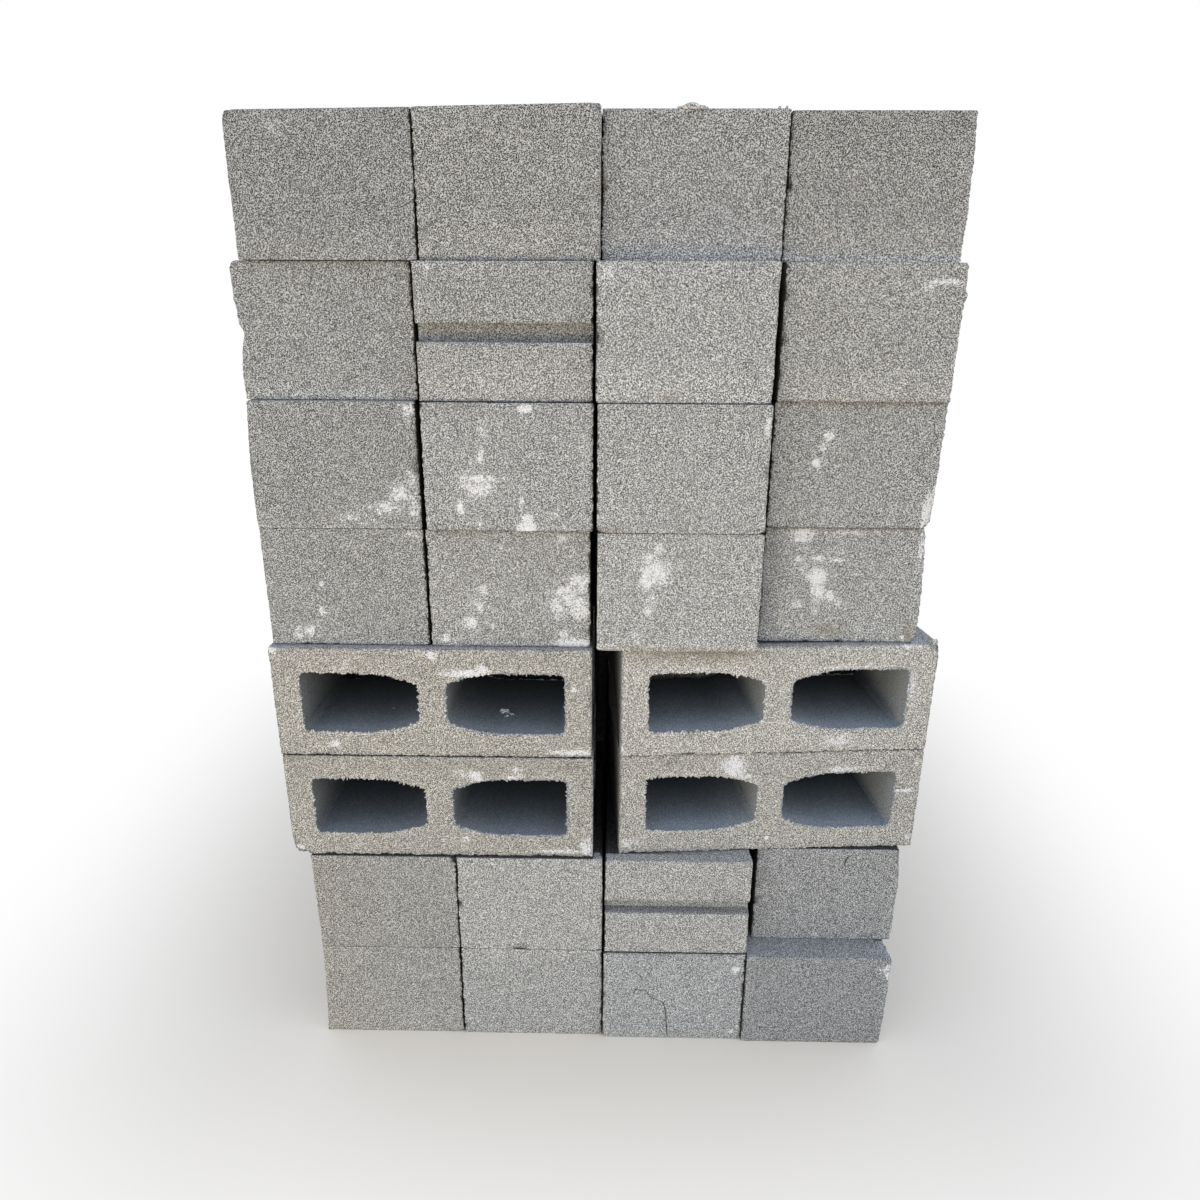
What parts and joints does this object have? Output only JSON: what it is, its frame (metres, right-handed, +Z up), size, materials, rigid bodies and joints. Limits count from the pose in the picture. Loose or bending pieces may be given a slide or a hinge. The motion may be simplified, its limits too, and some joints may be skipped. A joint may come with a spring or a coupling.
{
  "type": "cube of hollow concrete blocks",
  "caption": "Dry-laid cube of hollow concrete building blocks on their sides, mostly end on, with crosswise courses whose open cores face the front.",
  "frame": {"origin": "middle of the base of the cube's bounding box, on the floor", "axes": "+Z up, the front face with the crosswise cores looks along -Y, +X to the right as seen from the front"},
  "size_m": [0.83, 1.264, 1.1461],
  "materials": {
    "concrete_front": "matt, fine open grain, with white lime bloom",
    "concrete_rear": "matt, fine open grain"
  },
  "bodies": {
    "root": {"course_1_block_1": "concrete_front", "course_1_block_2": "concrete_front", "course_1_block_3": "concrete_front", "course_1_block_4": "concrete_front", "course_1_rear_blocks": "concrete_rear", "course_2_block_1": "concrete_front", "course_2_block_2": "concrete_front", "course_2_block_3": "concrete_front", "course_2_block_4": "concrete_front", "course_2_rear_blocks": "concrete_rear", "course_3_block_1": "concrete_front", "course_3_block_2": "concrete_front", "course_3_rear_left_blocks": "concrete_rear", "course_3_rear_right_blocks": "concrete_rear", "course_4_block_1": "concrete_front", "course_4_block_2": "concrete_front", "course_4_rear_left_blocks": "concrete_rear", "course_4_rear_right_blocks": "concrete_rear", "course_5_block_1": "concrete_front", "course_5_block_2": "concrete_front", "course_5_block_3": "concrete_front", "course_5_block_4": "concrete_front", "course_5_rear_blocks": "concrete_rear", "course_6_block_1": "concrete_front", "course_6_block_2": "concrete_front", "course_6_block_3": "concrete_front", "course_6_block_4": "concrete_front", "course_6_rear_blocks": "concrete_rear", "course_7_block_1": "concrete_front", "course_7_block_2": "concrete_front", "course_7_block_3": "concrete_front", "course_7_block_4": "concrete_front", "course_7_rear_blocks": "concrete_rear", "course_8_block_1": "concrete_front", "course_8_block_2": "concrete_front", "course_8_block_3": "concrete_front", "course_8_block_4": "concrete_front", "course_8_rear_blocks": "concrete_rear"}
  },
  "joints": []
}
